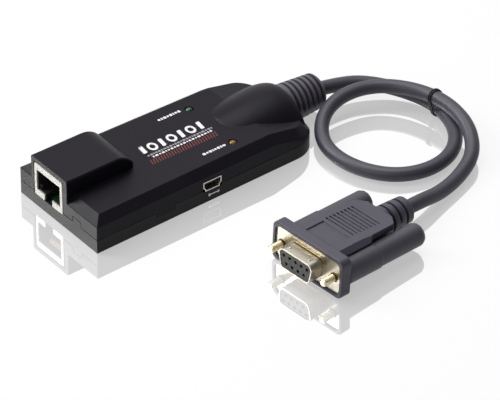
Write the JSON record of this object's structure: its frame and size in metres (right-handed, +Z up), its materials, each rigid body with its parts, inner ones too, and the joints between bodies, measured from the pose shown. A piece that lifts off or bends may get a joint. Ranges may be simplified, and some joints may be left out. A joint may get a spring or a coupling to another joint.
{
  "type": "serial adapter module",
  "caption": "Flat tapered adapter box with a modular jack at one end and a short looped cable to a nine-way plug with captive thumbscrews.",
  "frame": {"origin": "middle of the housing's underside, on the table", "axes": "+X from the jack end to the cable end, +Y to the far side, +Z up"},
  "size_m": [0.1457, 0.114, 0.0198],
  "materials": {
    "housing_plastic": "fine satin moulding",
    "board_laminate": "green solder mask",
    "ivory_plastic": "smooth",
    "gold_plate": "bright plate",
    "socket_steel": "plated sheet",
    "brown_plastic": "smooth",
    "green_lens": "clear tinted",
    "amber_lens": "clear tinted",
    "tinned_wire": "tinned",
    "black_resin": "moulded epoxy",
    "capacitor_can": "plain can",
    "ceramic": "fired",
    "white_plastic": "smooth",
    "lead_insulation": "smooth",
    "cable_jacket": "satin jacket",
    "screw_steel": "black-zinc plate",
    "boot_rubber": "satin moulding",
    "tie_plastic": "coated wire",
    "tin_plate": "tin plate",
    "black_insulator": "smooth",
    "plug_plastic": "satin moulding",
    "knob_plastic": "satin moulding"
  },
  "bodies": {
    "adapter": {"upper_shell": "housing_plastic", "lower_shell": "housing_plastic", "circuit_board": "board_laminate", "jack_housing": "ivory_plastic", "jack_contacts": "gold_plate", "usb_shell": "socket_steel", "usb_tongue": "brown_plastic", "usb_contacts": "gold_plate", "link_lamp": "green_lens", "link_lamp_legs": "tinned_wire", "power_lamp": "amber_lens", "power_lamp_legs": "tinned_wire", "controller_chip": "black_resin", "controller_chip_legs": "tinned_wire", "line_driver_chip": "black_resin", "line_driver_chip_legs": "tinned_wire", "crystal_can": "socket_steel", "smoothing_capacitor": "capacitor_can", "ceramic_capacitors": "ceramic", "cable_header": "white_plastic", "cable_leads": "lead_insulation", "cable_inner_end": "cable_jacket", "housing_screw_front": "screw_steel", "housing_screw_rear": "screw_steel", "cable_boot": "boot_rubber", "cable": "cable_jacket", "cable_tie": "tie_plastic", "plug_front_shell": "gold_plate", "plug_rear_shell": "tin_plate", "plug_insulator": "black_insulator", "plug_contacts": "gold_plate", "plug_hood": "plug_plastic", "plug_strain_relief": "plug_plastic"},
    "ring_near": {"retaining_ring_near": "tin_plate"},
    "thumbscrew_near": {"thumbscrew_knob_near": "knob_plastic", "thumbscrew_shaft_near": "gold_plate"},
    "ring_far": {"retaining_ring_far": "tin_plate"},
    "thumbscrew_far": {"thumbscrew_knob_far": "knob_plastic", "thumbscrew_shaft_far": "gold_plate"}
  },
  "joints": [
    {"name": "thumbscrew_near_slide", "type": "slide", "parent": "adapter", "child": "ring_near", "axis": [0.9953, 0.086, -0.0436], "range_m": [0, 0.0008]},
    {"name": "thumbscrew_near_spin", "type": "hinge", "parent": "ring_near", "child": "thumbscrew_near", "pos_m": [0.00093, -0.08768, 0.00742], "axis": [0.9953, 0.086, -0.0436], "continuous": true},
    {"name": "thumbscrew_far_slide", "type": "slide", "parent": "adapter", "child": "ring_far", "axis": [0.9953, 0.086, -0.0436], "range_m": [0, 0.0008]},
    {"name": "thumbscrew_far_spin", "type": "hinge", "parent": "ring_far", "child": "thumbscrew_far", "pos_m": [-0.00123, -0.06278, 0.00742], "axis": [0.9953, 0.086, -0.0436], "continuous": true}
  ]
}
